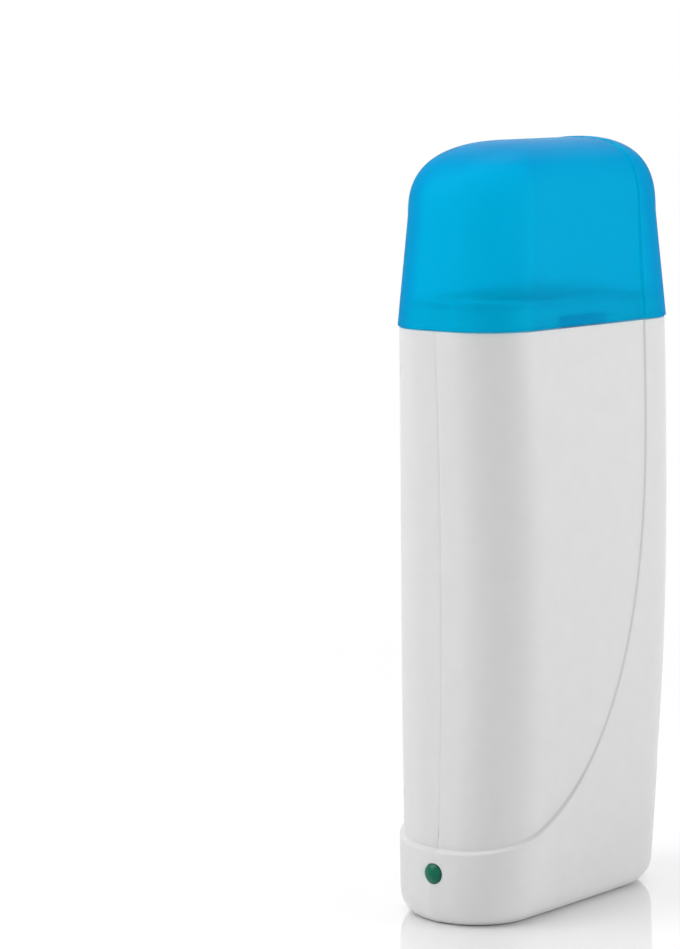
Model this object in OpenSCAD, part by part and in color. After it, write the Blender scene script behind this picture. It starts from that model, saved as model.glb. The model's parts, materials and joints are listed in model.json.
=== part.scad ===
// Roll-on wax heater: a slim two-shell housing with a lift-off translucent cap.
// X runs from the front (indicator lens, -X) to the back (power inlet, +X), Y across the
// depth with the joint between the two shells at y = 0, and Z up from the table.

/* [Overall] */
// Height with the cap on
total_h = 205; // [198:1:214]
// Height of the cap line above the table
seam_h = 156.3; // [150:0.1:160]
// Front corner line at the waist, measured from the middle
waist_front = 38.8; // [38.6:0.1:41]
// How much further forward the front reaches at the cap line
front_flare = 3.2; // [1:0.1:4.5]
// Height of the waist
waist_h = 70; // [60:1:85]
// Back corner line, measured from the middle
back_reach = 41.6; // [41.4:0.1:44]
// How far the lower back draws in
back_draw = 1.4; // [0:0.1:2]
// Half of the depth at the belly
half_depth = 21.2; // [21:0.1:23.5]
// Height of the belly
belly_h = 85; // [75:1:95]
// How far the broad side draws in at the cap line
top_draw = 1.45; // [0.6:0.05:1.6]
// How far the broad side draws in at the table
base_draw = 3.3; // [2:0.1:4]
// Radius of the upright corners
corner_r = 15; // [13:0.5:16]

/* [Housing walls] */
// Wall of the two shells
wall = 2; // [1.6:0.1:2.2]
// Floor thickness of the two shells
base_t = 2.2; // [1.8:0.1:3]
// Height of the rolled bottom edge
roll_h = 6.8; // [6:0.1:8]
// Inset of the rolled edge at the front and back
roll_end = 3.6; // [3:0.1:4.5]
// Inset of the rolled edge along the broad sides
roll_side = 5.2; // [4:0.1:6]

/* [Boot] */
// Height of the boot's top edge at the front
ring_h = 19.6; // [19:0.1:23]
// How far the boot stands proud of the front panel
boot_step = 1.2; // [0.6:0.1:1.6]
// Width of the filleted step
step_w = 1.4; // [1:0.1:2]
// Extra swell of the boot's nose around the lens
nose_swell = 0.9; // [0:0.1:1.2]
// Furthest back that the sweep line reaches
sweep_x = 21.7; // [20:0.1:24]
// How far below the cap line the sweep line turns straight up
sweep_drop = 10.3; // [8:0.1:30]
// Power of the superellipse that the sweep line follows
sweep_power = 2.65; // [2:0.05:3]

/* [Cap and neck] */
// Wall of the cap
cap_wall = 1.4; // [1:0.1:1.6]
// How far the cap stands proud of the housing at the cap line
cap_proud = 0.3; // [0.1:0.1:0.6]
// Open gap at the cap line
cap_seat_gap = 0.3; // [0.2:0.05:0.5]
// Draft of the cap's front and back, in degrees
cap_draft = 4.5; // [3:0.1:5]
// Draft of the cap's broad sides, in degrees
cap_side_draft = 3.2; // [2:0.1:4]
// Height of the cap's dome
dome_h = 19.5; // [16:0.5:21]
// How far the dome draws in at the front
dome_front = 34; // [28:0.5:36]
// How far the dome draws in at the back
dome_back = 22.5; // [18:0.5:24]
// Power of the superellipse that the dome's profile follows
dome_power = 2.65; // [2.2:0.05:3]
// Height of the cap step at the top
cap_step_top = 0.3; // [0.2:0.1:0.6]
// Clearance between the neck and the cap
neck_gap = 0.5; // [0.4:0.05:0.7]
// Wall of the neck
neck_wall = 1.4; // [1.2:0.1:1.6]
// Height of the neck above the cap line, with the mouth plate on it
neck_h = 7.3; // [6:0.1:9]
// Length of the catch pad inside the cap
catch_len = 19.2; // [12:0.2:24]
// Middle of the catch pad
catch_x = -4.2; // [-8:0.1:0]
// Height of the catch pad
catch_h = 2.6; // [2:0.1:3.5]
// How far the catch pad stands in from the cap's wall
catch_t = 0.3; // [0.2:0.05:0.35]

/* [Cartridge well] */
// Width of the refill that the well takes
refill_w = 52.4; // [50:0.1:53]
// Depth of the refill
refill_d = 32; // [30:0.1:32.2]
// Corner radius of the refill
refill_r = 9; // [7:0.1:11]
// Clearance around the refill
refill_gap = 0.5; // [0.3:0.05:0.6]
// Wall of the heated sleeve
sleeve_t = 0.9; // [0.7:0.05:1]
// How far below the cap line the sleeve ends
sleeve_drop = 16.3; // [15:0.1:18]
// Height of the shelf that carries the well's foot
shelf_h = 42; // [40:0.5:44]
// Thickness of shelves and ribs
rib_t = 1.6; // [1.2:0.1:2]
// Thickness of the well's foot and of the mouth plate
plate_t = 1.6; // [1.4:0.1:2]
// Fit between pieces that slide into each other
slip = 0.15; // [0.1:0.01:0.25]

/* [Heater] */
// Number of ceramic heating pills
pill_count = 3; // [2:1:3]
// Height of one pill
pill_h = 16; // [12:0.5:18]
// Width of one pill
pill_w = 14; // [10:0.5:15]
// Thickness of one pill
pill_t = 2.2; // [1.8:0.1:2.6]
// Space between two pills
pill_gap = 1.5; // [1:0.1:3]
// Height of the lowest pill above the shelf
pill_lift = 30; // [28:0.5:32]
// Thickness of the insulating film
film_t = 0.3; // [0.2:0.05:0.4]
// Thickness of a contact plate
contact_t = 0.5; // [0.4:0.05:0.8]
// Thickness of the pressure plate
press_t = 1; // [0.8:0.1:1.5]
// Thickness of the leaf spring
leaf_t = 0.3; // [0.2:0.05:0.4]
// Arch of the leaf spring
leaf_arch = 1.2; // [0.8:0.1:1.6]
// Wall of the heater channel on the sleeve
rail_t = 1.4; // [1.2:0.1:1.8]

/* [Inlet] */
// Height of the middle of the power inlet
inlet_h = 17.5; // [17:0.1:19]
// Width of the inlet's recess
inlet_w = 8.6; // [8.4:0.1:8.8]
// Height of the inlet's recess, round ends included
inlet_tall = 15.6; // [15.4:0.1:16]
// Depth of the inlet's recess
inlet_deep = 12; // [10:0.5:13]
// Wall of the inlet's housing
inlet_t = 1.4; // [1.2:0.1:1.6]
// Diameter of a contact pin
pin_d = 2.4; // [2.3:0.1:2.5]
// Spacing of the two pins
pin_pitch = 8.6; // [8.2:0.1:8.8]

/* [Indicator] */
// Diameter of the indicator lens
lens_d = 5.2; // [5:0.1:6]
// Height of the middle of the lens
lens_h = 13.6; // [13:0.1:15]
// How far the lens dome stands proud
lens_proud = 1; // [0.6:0.1:1.4]
// Diameter of the lamp behind the lens
lamp_d = 3; // [2.8:0.1:3.1]

/* [Screws] */
// Diameter of the screw shank
screw_d = 2.8; // [2.5:0.1:3]
// Diameter of the screw head
screw_head_d = 5.2; // [4.8:0.1:5.6]
// Length of the screw shank
screw_len = 16; // [12:0.5:18]
// Distance of the screw seat from the joint between the shells
screw_seat = 7; // [5:0.5:8]
// How far below the cap line the upper pair of screws lies
screw_drop = 10.8; // [10.4:0.1:12]
// Height of the lower pair of screws
screw_low = 33; // [32:0.5:34]
// Inset of the screws from the corner lines
screw_inset = 7; // [6.5:0.1:7.5]

/* [Hidden] */

face_crown = 0.029;      // swell of the broad sides, as a share of the half depth
end_crown = 0.8;         // swell of the narrow front and back
back_bend_h = 110;       // the back is straight above this height
back_bend_len = 70;      // and draws in over this length below it
sweep_h = seam_h - sweep_drop;
ledge_h = 6;             // the shell thickens into the neck this far below the cap line
round_fn = 48;           // facets of a round detail
eps = 0.01;

function sq(a) = a * a;
function unit(a) = min(1, max(0, a));
function ease(a) = sq(unit(a)) * (3 - 2 * unit(a));
function mix(a, b, f) = a + (b - a) * f;
function tidy(p) = [for (c = p) round(c * 1e5) / 1e5 + 0];

// ---- The outline of the housing at a height: [front corner, back corner, half depth, radius]

function front_at(z) = waist_front + front_flare * sq((z - waist_h) / (seam_h - waist_h));
function back_at(z) = back_reach - back_draw * sq(unit((back_bend_h - z) / back_bend_len));
function depth_at(z) = half_depth - (z > belly_h ? top_draw * sq((z - belly_h) / (seam_h - belly_h))
                                                 : base_draw * sq((belly_h - z) / belly_h));
function body_level(z) = [-front_at(z), back_at(z), depth_at(z), corner_r];
function inset_level(lv, end, side) = [lv[0] + end, lv[1] - end, lv[2] - side, lv[3] - end];

// Shares of the half outline taken by the front flat, the corners, the side and the back flat
flat_len = half_depth - corner_r;
bend_len = corner_r * PI / 2;
side_len = waist_front + back_reach - 2 * corner_r;
half_len = 2 * flat_len + 2 * bend_len + side_len;
k_front = flat_len / half_len;
k_bend = k_front + bend_len / half_len;
k_side = k_bend + side_len / half_len;
k_back = k_side + bend_len / half_len;

// A point of the half outline on the -Y side: u runs from the front (0) round to the back (1)
// and s grows the outline by that much
function outline_pt(u, lv, s) =
    let (xf = lv[0] - s, xb = lv[1] + s, h = lv[2] + s, r = lv[3] + s,
         af = 180 + 90 * (u - k_front) / (k_bend - k_front),
         ab = 270 + 90 * (u - k_side) / (k_back - k_side),
         p = u <= k_front ? [xf, -(h - r) * u / k_front]
           : u <= k_bend ? [xf + r + r * cos(af), -(h - r) + r * sin(af)]
           : u <= k_side ? [mix(xf + r, xb - r, (u - k_bend) / (k_side - k_bend)), -h]
           : u <= k_back ? [xb - r + r * cos(ab), -(h - r) + r * sin(ab)]
           : [xb, -(h - r) * (1 - u) / (1 - k_back)],
         mid = (xf + xb) / 2, half = (xb - xf) / 2)
    [mid + (p.x - mid) * (1 + end_crown / half * (1 - sq(p.y / h))),
     p.y * (1 + face_crown * (1 - sq((p.x - mid) / half)))];

function u_at_x(x, lv) = let (bent = (x - lv[1] + lv[3]) / lv[3])
    bent <= 0 ? k_bend + (x - lv[0] - lv[3]) / (lv[1] - lv[0] - 2 * lv[3]) * (k_side - k_bend)
              : k_side + (k_back - k_side) * (1 - acos(min(1, bent)) / 90);
function skin_pt(u, z, lv, s) = let (p = outline_pt(u, lv, s)) tidy([p.x, p.y, z]);
function nose(u, z) = nose_swell * sq(1 - unit(u / (k_front + k_bend) * 2)) * (z < ring_h + step_w ? 1 : 0);

// ---- The sweep line, where the boot stands proud of the front panel

rows_straight = 3;                              // rows above the sweep's widest point
rows_back = 9;                                  // further rows that end on the back joint
bend_steps = 5;                                 // steps round a corner of the bottom edge
side_steps = 3;                                 // steps along the side of the bottom edge
rim_us = [1, for (i = [0:bend_steps]) mix(k_back, k_side, i / bend_steps),
          for (i = [1:side_steps - 1]) mix(k_side, k_bend, i / side_steps),
          for (i = [0:bend_steps]) mix(k_bend, k_front, i / bend_steps), 0];
rows_rim = len(rim_us) - 1;                     // rows that end on the bottom edge
row_corner = rows_straight + rows_back;
rows = row_corner + rows_rim;
t_straight = rows_straight / rows;
sweep_u = u_at_x(sweep_x, body_level(sweep_h));

function sweep_pt(t) =
    let (a = 90 * (t - t_straight) / (1 - t_straight), e = 2 / sweep_power,
         z = mix(seam_h, sweep_h, t / t_straight))
    t < t_straight ? [u_at_x(sweep_x, body_level(z)), z]
               : [sweep_u * pow(max(0, cos(a)), e), sweep_h - (sweep_h - ring_h) * pow(max(0, sin(a)), e)];
// The side of the sweep line that faces the front panel, as a direction in (u, z)
function sweep_side(t) =
    let (d = sweep_pt(min(1, t + 0.004)) - sweep_pt(max(0, t - 0.004)), v = [d[0] * half_len, d[1]])
    t <= 0 ? [-1, 0] : t >= 1 ? [0, 1] : [v[1], -v[0]] / norm(v);
function beside_sweep(t, off) = let (c = sweep_pt(t), n = sweep_side(t))
    [max(0, c[0] + n[0] * off / half_len), c[1] + n[1] * off];

// One row of the skin crosses the panel, the step and the boot: [u, z, share of the step]
panel_cols = 12;
step_cols = 3;
boot_cols = 8;
panel_low = ring_h + step_w / 2 + 3;            // the panel's lowest row starts at this height
function row_end(j) = j <= row_corner ? [1, mix(seam_h, roll_h, j / row_corner)]
                                      : [rim_us[j - row_corner], roll_h];
function skin_row(j) =
    let (t = j / rows, a = [0, mix(seam_h, panel_low, t)],
         b = beside_sweep(t, step_w / 2), c = beside_sweep(t, -step_w / 2), d = row_end(j))
    [for (k = [0:panel_cols - 1]) let (p = mix(a, b, pow(k / panel_cols, 1.25))) [p[0], p[1], 0],
     for (k = [0:step_cols]) let (p = beside_sweep(t, step_w * (0.5 - k / step_cols)))
         [p[0], p[1], ease(k / step_cols)],
     for (k = [1:boot_cols]) let (p = mix(c, d, k / boot_cols)) [p[0], p[1], 1]];

// ---- Closed surfaces out of patches, each a grid of points seen from outside

function bend(g) = [for (r = g) [for (i = [len(r) - 1:-1:0]) r[i]]];
function far(g) = bend([for (r = g) [for (p = r) [p.x, -p.y + 0, p.z]]]);
function corners(g) = [for (i = [0:len(g) - 2]) for (k = [0:len(g[0]) - 2])
    each [[g[i][k], g[i + 1][k], g[i + 1][k + 1]], [g[i][k], g[i + 1][k + 1], g[i][k + 1]]]];
function sound(t) = t[0] != t[1] && t[1] != t[2] && t[2] != t[0];
module closed(patches, polygons) {
    tris = [for (g = patches) for (t = corners(g)) if (sound(t)) t];
    loops = concat(tris, polygons);
    starts = [for (i = 0, n = 0; i < len(loops); n = n + len(loops[i]), i = i + 1) n];
    polyhedron(points = [for (l = loops) each l],
               faces = [for (i = [0:len(loops) - 1]) [for (k = [0:len(loops[i]) - 1]) starts[i] + k]]);
}

// ---- The two shells of the housing

neck_inset = cap_wall + neck_gap - cap_proud;   // the neck's outside, in from the housing's skin
neck_top = seam_h + neck_h - plate_t;           // top edge of the neck's wall
neck_taper = neck_h * tan(cap_draft);
inner_inset = neck_inset + neck_wall;
roll_steps = 4;

// Inside, the rows crowd together above the sweep's widest point to end below the neck
function level_in(row, inner) = !inner ? row
    : [for (p = row) [p[0], p[1] - ledge_h * unit((p[1] - sweep_h) / (seam_h - sweep_h)), p[2]]];
function grid_pt(p, inset) =
    skin_pt(p[0], p[1], body_level(p[1]), boot_step * p[2] + nose(p[0], p[1]) * p[2] - inset);
function shell_grid(inner) = [for (j = [0:rows]) [for (p = level_in(skin_row(j), inner))
    grid_pt(p, inner ? wall : 0)]];
// The rolled bottom edge, from its top (step 0) down to the floor
function roll_pt(u, i, inner) =
    let (a = 90 * i / roll_steps, w = inner ? wall : 0, low = inner ? base_t : 0,
         lv = inset_level(body_level(roll_h), (roll_end - w) * (1 - cos(a)), (roll_side - w) * (1 - cos(a))))
    skin_pt(u, mix(roll_h, low, sin(a)), lv, boot_step + nose(u, roll_h) - w);
function roll_grid(inner) = [for (i = [0:roll_steps]) [for (u = rim_us) roll_pt(u, i, inner)]];
// The neck, as rings at the columns of the top row
top_row = skin_row(0);
function neck_ring(z, inset) = [for (p = top_row)
    skin_pt(p[0], z, body_level(seam_h), boot_step * p[2] - inset)];

module half_shell() {
    out = shell_grid(false);
    in = shell_grid(true);
    roll_out = roll_grid(false);
    roll_in = roll_grid(true);
    neck = [out[0], neck_ring(seam_h, neck_inset), neck_ring(neck_top, neck_inset + neck_taper),
            neck_ring(neck_top, inner_inset + neck_taper),
            neck_ring(seam_h - ledge_h + inner_inset, inner_inset), in[0]];
    last = len(rim_us) - 1;
    cols = len(out[0]) - 1;
    // the joint face lies in the plane y = 0: down the front, along the floor, up the back
    function edge(skin, roll, front, back) = concat(
        front, [for (j = [0:rows]) skin[j][0]], [for (k = [1:cols]) skin[rows][k]],
        [for (i = [1:roll_steps]) roll[i][last]], [for (i = [roll_steps:-1:1]) roll[i][0]],
        [for (j = [row_corner:-1:0]) skin[j][cols]], back);
    outer_edge = edge(out, roll_out, [neck[2][0], neck[1][0]], [neck[1][cols], neck[2][cols]]);
    inner_edge = edge(in, roll_in, [neck[3][0], neck[4][0]], [neck[4][cols], neck[3][cols]]);
    closed([bend(out), in, roll_out, bend(roll_in), neck, [inner_edge, outer_edge]],
           [[for (i = [last:-1:0]) roll_out[roll_steps][i]], roll_in[roll_steps]]);
}

module rounded_rect(x0, x1, h, r) {
    translate([x0 + r, -h]) square([x1 - x0 - 2 * r, 2 * h]);
    translate([x0, -h + r]) square([x1 - x0, 2 * h - 2 * r]);
    for (x = [x0 + r, x1 - r], y = [-h + r, h - r]) translate([x, y]) circle(r = r, $fn = round_fn);
}
// A block that fills one half of the housing between two heights, up to the middle of its wall
plug_us = [0, for (i = [0:bend_steps]) mix(k_front, k_bend, i / bend_steps),
           for (i = [1:side_steps - 1]) mix(k_bend, k_side, i / side_steps),
           for (i = [0:bend_steps]) mix(k_side, k_back, i / bend_steps), 1];
function sweep_u_at(z) =
    z <= ring_h ? 0
    : z < sweep_h ? sweep_u * pow(1 - pow((sweep_h - z) / (sweep_h - ring_h), sweep_power), 1 / sweep_power)
    : u_at_x(sweep_x, body_level(z));
module plug(z0, z1) {
    mid = (z0 + z1) / 2;
    translate([0, 0, z0]) linear_extrude(height = z1 - z0) polygon([for (u = plug_us)
        outline_pt(u, body_level(mid), (u > sweep_u_at(mid) ? boot_step : 0) - wall / 2)]);
}
module half_space(x0, x1, z0, z1) {
    translate([x0, -2 * half_depth, z0]) cube([x1 - x0, 2 * half_depth, z1 - z0]);
}

well_w = refill_w / 2 + refill_gap;             // half sizes of the well and of its sleeve
well_d = refill_d / 2 + refill_gap;
well_r = refill_r + refill_gap;
sleeve_w = well_w + sleeve_t;
sleeve_d = well_d + sleeve_t;
foot_h = shelf_h + plate_t;                     // the sleeve stands on the foot at this height
sleeve_top = seam_h - sleeve_drop;
cable_w = 6;                                    // half width of the cable way through the shelf
cable_x = 35;                                   // and how far back it reaches
screw_top = seam_h - screw_drop;
screw_clear = 0.2;
boss_t = 2.2;
// The four screws, as [x, z]
screw_xs = [for (z = [screw_low, screw_top]) [-front_at(z) + screw_inset, back_at(z) - screw_inset]];
screw_spots = [for (i = [0, 1]) for (x = screw_xs[i]) [x, i == 0 ? screw_low : screw_top]];
rib_levels = [60, 95, sleeve_top - 12];         // heights of the three ribs behind the front
board_t = 1.6;
board_x = lens_back() + 7;                      // outer face of the lamp board
board_low = base_t + 4;
board_high = ring_h;
board_half = 8;
slot_deep = 1.2;
peg_d = 2.4;
peg_len = 2;
peg_front = 104;                                // heights of the two locating pegs
peg_back = 52;
peg_spots = [[-front_at(peg_front) + wall + 3, peg_front], [back_at(peg_back) - wall - 0.4, peg_back]];

function lens_front() = -front_at(lens_h) - boot_step - end_crown - nose(0, lens_h);
function lens_back() = lens_front() + wall;
function inlet_face() = back_at(inlet_h) + boot_step - 0.4;

module across(x, z, y0, y1, d) {
    translate([x, y1, z]) rotate([90, 0, 0]) cylinder(d = d, h = y1 - y0, $fn = round_fn);
}
// What both halves carry inside: shelf, ribs, board slots and the bosses, all at y < 0
module half_inside(boss_d) {
    difference() {
        intersection() {
            plug(shelf_h - rib_t, shelf_h);
            half_space(-2 * back_reach, 2 * back_reach, shelf_h - rib_t, shelf_h);
        }
        translate([-cable_x, -cable_w, shelf_h - 2 * rib_t]) cube([2 * cable_x, 2 * cable_w, 3 * rib_t]);
    }
    for (z = rib_levels) intersection() {
        plug(z, z + rib_t);
        half_space(-2 * back_reach, -sleeve_w - 2 * slip, z, z + rib_t);
    }
    for (p = screw_spots) intersection() {
        plug(p[1] - boss_d / 2 - eps, p[1] + boss_d / 2 + eps);
        across(p[0], p[1], -2 * half_depth, 0, boss_d);
    }
    for (p = peg_spots) intersection() {
        plug(p[1] - peg_d, p[1] + peg_d);
        across(p[0], p[1], -2 * half_depth, 0, 2 * peg_d);
    }
    difference() {
        intersection() {
            plug(board_low - rib_t, board_high + rib_t);
            half_space(board_x - rib_t, board_x + board_t + rib_t, board_low - rib_t, board_high + rib_t);
        }
        translate([board_x - slip, -board_half - slip, board_low - slip])
            cube([board_t + 2 * slip, 2 * board_half, board_high - board_low + 2 * slip]);
        translate([board_x - 2 * rib_t, -board_half + slot_deep, board_low + slot_deep])
            cube([6 * rib_t, 2 * board_half, board_high - board_low - 2 * slot_deep]);
    }
}
// Openings that both halves share along the joint
module joint_openings() {
    translate([lens_front() - 2, 0, lens_h]) rotate([0, 90, 0])
        cylinder(d = lens_d + 2 * slip, h = wall + 4, $fn = round_fn);
    translate([inlet_face() - wall - 3, 0, inlet_h]) rotate([90, 0, 90])
        linear_extrude(height = 2 * wall + 6)
            stadium(inlet_w + 2 * (inlet_t + slip), inlet_tall + 2 * (inlet_t + slip));
}
module stadium(w, tall) {
    square([w, tall - w], center = true);
    for (s = [-1, 1]) translate([0, s * (tall - w) / 2]) circle(d = w, $fn = round_fn);
}

module shell_right() {
    color([0.86, 0.86, 0.87]) difference() {
        union() {
            half_shell();
            half_inside(screw_d + 2 * boss_t);
        }
        joint_openings();
        for (p = screw_spots) across(p[0], p[1], screw_seat - screw_len - 2, 1, screw_d + 0.1);
        for (p = peg_spots) across(p[0], p[1], -peg_len - 0.4, 1, peg_d + 2 * slip);
    }
}
module shell_left() {
    color([0.86, 0.86, 0.87]) {
        difference() {
            mirror([0, 1, 0]) union() {
                half_shell();
                half_inside(screw_head_d + 2 * screw_clear + 2 * boss_t);
            }
            joint_openings();
            for (p = screw_spots) {
                across(p[0], p[1], -1, screw_seat + 1, screw_d + 2 * screw_clear);
                across(p[0], p[1], screw_seat, 2 * half_depth, screw_head_d + 2 * screw_clear);
            }
        }
        for (p = peg_spots) across(p[0], p[1], -peg_len, 1, peg_d);
    }
}

// ---- The cap

cap_low = seam_h + cap_seat_gap;
dome_low = total_h - cap_step_top - dome_h;     // the dome starts at this height
dome_share = 0.88;                              // share of the half depth that its levels cover
dome_arc = acos(pow(1 - dome_share, dome_power / 2));
wall_steps = 4;
dome_steps = 9;
cap_front_cols = 12;
cap_back_cols = 8;

function cap_level(z) = let (d = tan(cap_draft) * (z - seam_h), e = tan(cap_side_draft) * (z - seam_h))
    [-front_at(seam_h) - cap_proud + d, back_at(seam_h) + cap_proud - d,
     depth_at(seam_h) + cap_proud - e, corner_r];
function dome_level(a) = let (f = 1 - pow(cos(a), 2 / dome_power), lv = cap_level(dome_low))
    [lv[0] + dome_front * f, lv[1] - dome_back * f, lv[2] * (1 - f), lv[3] * (1 - f)];
// One level of the cap: [height, outline, how far its skin faces up]
cap_levels = [for (i = [0:wall_steps]) let (z = mix(cap_low, dome_low, i / wall_steps)) [z, cap_level(z), 0],
              for (i = [1:dome_steps]) let (a = dome_arc * i / dome_steps)
                  [dome_low + dome_h * pow(sin(a), 2 / dome_power), dome_level(a), sin(a)]];
function cap_pt(u, c, rise, w) = skin_pt(u, c[0] + (rise - w) * c[2], c[1], rise - w);
function cap_row(c, inner) =
    let (z = c[0], lv = c[1], d = step_w / 2 / half_len, w = inner ? cap_wall : 0,
         u = u_at_x(sweep_x, lv),
         rise = mix(boot_step, cap_step_top, (z - seam_h) / (total_h - seam_h)))
    [for (k = [0:cap_front_cols - 1]) cap_pt((u - d) * pow(k / cap_front_cols, 1.1), c, 0, w),
     for (k = [0:step_cols]) cap_pt(u + d * (2 * k / step_cols - 1), c, rise * ease(k / step_cols), w),
     for (k = [1:cap_back_cols]) cap_pt(mix(u + d, 1, k / cap_back_cols), c, rise, w)];
// The last level closes across the joint plane in a nearly flat strip
function cap_skin(inner) = let (side = [for (c = cap_levels) cap_row(c, inner)], ring = side[len(side) - 1])
    concat(side, [[for (p = ring) [p.x, 0, p.z]]]);

module cap() {
    out = cap_skin(false);
    in = cap_skin(true);
    rim = [in[0], out[0]];
    y_in = depth_at(seam_h) + cap_proud - cap_wall;
    y_pad = y_in * (1 + face_crown) - catch_t;
    color([0.0, 0.62, 0.86, 0.75]) union() {
        closed([out, bend(in), rim, far(out), far(bend(in)), far(rim)], []);
        for (s = [-1, 1]) translate([catch_x - catch_len / 2, s * (y_pad + 0.5) - 0.5, cap_low])
            cube([catch_len, 1, catch_h]);
    }
}

// ---- The cartridge well

module well_outline(grow) {
    rounded_rect(-well_w - grow, well_w + grow, well_d + grow, well_r + grow);
}
cheek_len = 4.2;                                // how far the cheeks reach round the refill's ends
module mouth_guide() {
    lv = inset_level(body_level(seam_h), neck_inset + neck_taper, neck_inset + neck_taper);
    cheek_x = well_w - cheek_len;
    color([0.8, 0.8, 0.81]) {
        difference() {
            translate([0, 0, neck_top]) linear_extrude(height = plate_t)
                rounded_rect(lv[0], lv[1] + boot_step, lv[2], lv[3]);
            translate([0, 0, neck_top - 1]) linear_extrude(height = plate_t + 2) well_outline(0);
        }
        difference() {
            translate([0, 0, sleeve_top + 2 * slip]) linear_extrude(height = neck_top - sleeve_top - 2 * slip)
                difference() {
                    well_outline(sleeve_t);
                    well_outline(0);
                }
            translate([-cheek_x, -2 * half_depth, sleeve_top])
                cube([2 * cheek_x, 4 * half_depth, neck_top - sleeve_top + 1]);
        }
    }
}
channel_half = pill_w / 2 + 1.3;                // half width of the heater channel
stack_t = 2 * film_t + 2 * contact_t + pill_t + press_t;
channel_t = stack_t + leaf_t + leaf_arch + slip;
stack_low = shelf_h + pill_lift;
stack_high = stack_low + pill_count * pill_h + (pill_count - 1) * pill_gap;
module heat_sleeve() {
    lip = 1.6;
    color([0.75, 0.76, 0.78]) translate([0, 0, foot_h]) linear_extrude(height = sleeve_top - foot_h)
        difference() {
            union() {
                well_outline(sleeve_t);
                for (s = [-1, 1]) {
                    translate([sleeve_w - sleeve_t / 2, s * (channel_half + rail_t / 2) - rail_t / 2])
                        square([channel_t + rail_t + sleeve_t / 2, rail_t]);
                    translate([sleeve_w + channel_t + rail_t / 2, s * (channel_half + (rail_t - lip) / 2)])
                        square([rail_t, lip + rail_t], center = true);
                }
            }
            well_outline(0);
        }
}
module chamber_foot() {
    color([0.35, 0.35, 0.37]) translate([0, 0, shelf_h]) {
        linear_extrude(height = plate_t) well_outline(sleeve_t + slip);
        translate([0, 0, plate_t]) linear_extrude(height = plate_t) difference() {
            well_outline(-slip);
            well_outline(-plate_t);
        }
    }
}

// ---- The heater, stacked in the channel on the sleeve's back

module stack_sheet(x, t, half, low, high) {
    translate([x, -half, low]) cube([t, 2 * half, high - low]);
}
inner_contact_x = sleeve_w + film_t;
pill_x = inner_contact_x + contact_t;
outer_contact_x = pill_x + pill_t;
outer_film_x = outer_contact_x + contact_t;
press_x = outer_film_x + film_t;
leaf_x = press_x + press_t;
film_over = 2;                                  // the film reaches past the pills
tab_w = 4.8;
tab_len = 5;
tab_y = 4.2;
module contact_film() {
    color([0.75, 0.45, 0.12]) for (x = [sleeve_w, outer_film_x])
        stack_sheet(x, film_t, channel_half - slip, stack_low - film_over, stack_high + film_over);
}
module contact_plates() {
    color([0.78, 0.62, 0.35]) for (c = [[inner_contact_x, -1], [outer_contact_x, 1]]) {
        stack_sheet(c[0], contact_t, pill_w / 2, stack_low - 1, stack_high + 1);
        translate([c[0], c[1] * tab_y - tab_w / 2, stack_low - 1 - tab_len])
            cube([contact_t, tab_w, tab_len]);
    }
}
module heating_pills() {
    color([0.42, 0.42, 0.44]) for (i = [0:pill_count - 1])
        stack_sheet(pill_x, pill_t, pill_w / 2, stack_low + i * (pill_h + pill_gap),
                    stack_low + i * (pill_h + pill_gap) + pill_h);
}
module pressure_plate() {
    color([0.72, 0.73, 0.75]) stack_sheet(press_x, press_t, pill_w / 2 + 0.4, stack_low - 1, stack_high + 1);
}
module leaf_spring() {
    half = (stack_high - stack_low) / 2 - 1;
    radius = (sq(half) + sq(leaf_arch)) / (2 * leaf_arch);
    color([0.6, 0.61, 0.63]) translate([leaf_x + slip / 2, pill_w / 2, (stack_low + stack_high) / 2])
        rotate([90, 0, 0]) linear_extrude(height = pill_w) intersection() {
            translate([radius, 0]) difference() {
                circle(r = radius, $fn = 8 * round_fn);
                circle(r = radius - leaf_t, $fn = 8 * round_fn);
            }
            translate([-1, -half]) square([leaf_arch + leaf_t + 1, 2 * half]);
        }
}
module mica_sheet() {
    color([0.85, 0.8, 0.66]) stack_sheet(sleeve_w + channel_t + rail_t, 0.5, channel_half + rail_t - slip,
                                         stack_low - 4, stack_high + 4);
}

// ---- The thermal fuse, upright on the sleeve's back below the heater

fuse_r = 2;
fuse_len = 9;
fuse_lead_r = 0.5;
fuse_tail = 2.5;
tube_r = 2.7;
fuse_x = sleeve_w + tube_r + slip;
fuse_low = foot_h + 3.5;
fuse_high = fuse_low + fuse_len;
crimp_r = 1.3;
crimp_len = 3;
module thermal_fuse() {
    color([0.8, 0.81, 0.83]) translate([fuse_x, 0, 0]) {
        translate([0, 0, fuse_low]) cylinder(r = fuse_r, h = fuse_len, $fn = round_fn);
        translate([0, 0, fuse_low - fuse_tail]) cylinder(r = fuse_lead_r, h = fuse_tail + 1, $fn = 24);
        translate([0, 0, fuse_high - 1]) cylinder(r = fuse_lead_r, h = fuse_tail + 1, $fn = 24);
    }
}
module fuse_sleeve() {
    color([0.93, 0.92, 0.86]) translate([fuse_x, 0, fuse_low - 1]) difference() {
        cylinder(r = tube_r, h = fuse_len + 2, $fn = round_fn);
        translate([0, 0, -1]) cylinder(r = fuse_r + slip, h = fuse_len + 4, $fn = round_fn);
    }
}
module fuse_crimps() {
    color([0.7, 0.7, 0.68]) for (z = [fuse_low - fuse_tail, fuse_high + fuse_tail])
        translate([fuse_x, 0, z - crimp_len / 2]) difference() {
            cylinder(r = crimp_r, h = crimp_len, $fn = round_fn);
            translate([0, 0, -1]) cylinder(r = fuse_lead_r + 0.05, h = crimp_len + 2, $fn = 24);
        }
}

// ---- The indicator: lens, lamp, its board and resistor

flange_t = 1;
lens_seat = wall + 0.6;                         // the flange lies this far behind the lens's rim
lens_steps = 6;
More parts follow.
